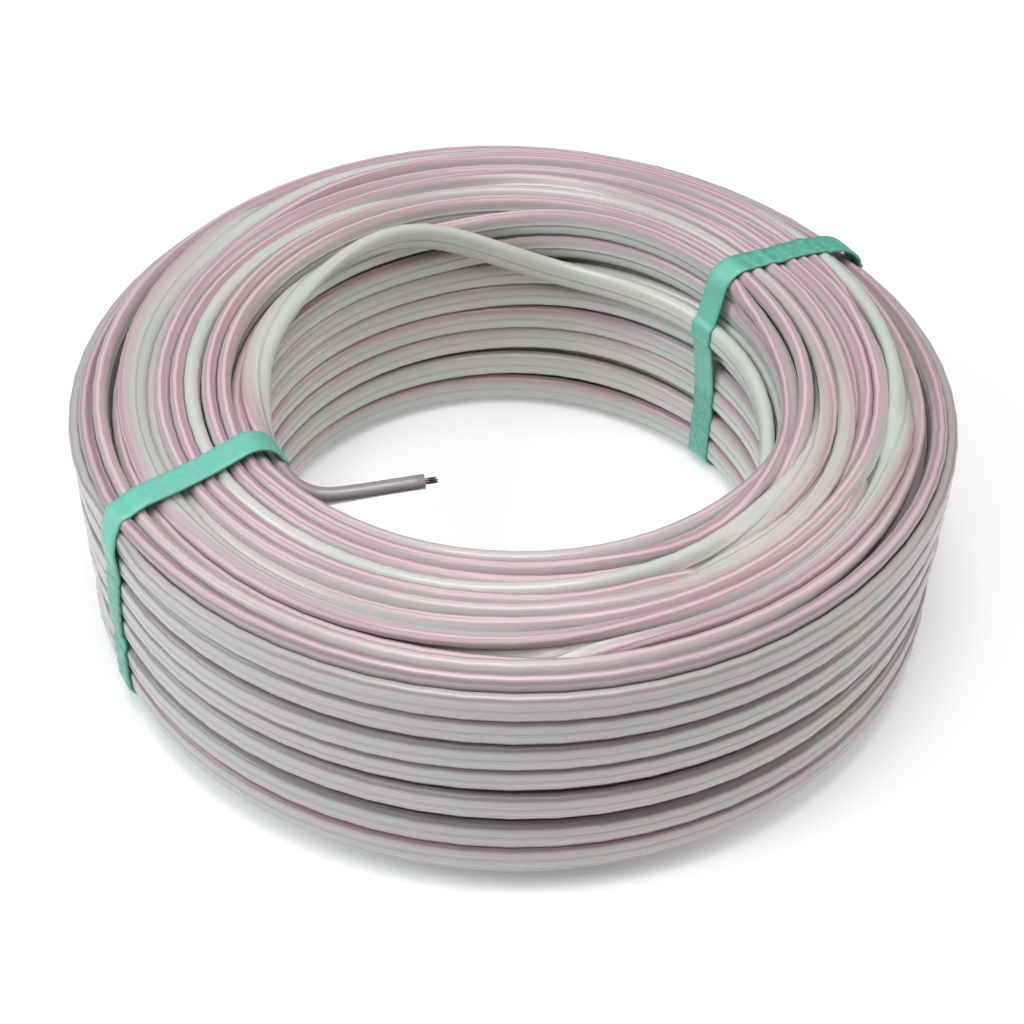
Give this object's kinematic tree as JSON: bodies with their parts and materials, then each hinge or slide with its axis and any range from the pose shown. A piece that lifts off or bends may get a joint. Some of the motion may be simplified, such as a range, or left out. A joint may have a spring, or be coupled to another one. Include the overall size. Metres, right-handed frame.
{
  "type": "coil of flat two-core cable",
  "caption": "Ring-shaped coil of white flat two-core cable with a red stripe along one core, tied with flat mint-green plastic straps, its inner end sticking into the hole.",
  "frame": {"origin": "centre of the coil's footprint, on the surface that it lies on", "axes": "+Z along the coil's axis, up out of its upper face; the strap on the front left is towards -X and -Y, the other towards +X and +Y"},
  "size_m": [0.161, 0.161, 0.0516],
  "materials": {
    "cable_sheath": "smooth white PVC with a red stripe along one core",
    "copper": "bare stranded copper",
    "strap": "mint-green polypropylene strap"
  },
  "bodies": {
    "root": {"cable_coil": "cable_sheath", "inner_end": "cable_sheath", "outer_end": "cable_sheath", "striped_core_copper": "copper", "plain_core_copper": "copper", "front_strap": "strap", "rear_strap": "strap"}
  },
  "joints": []
}
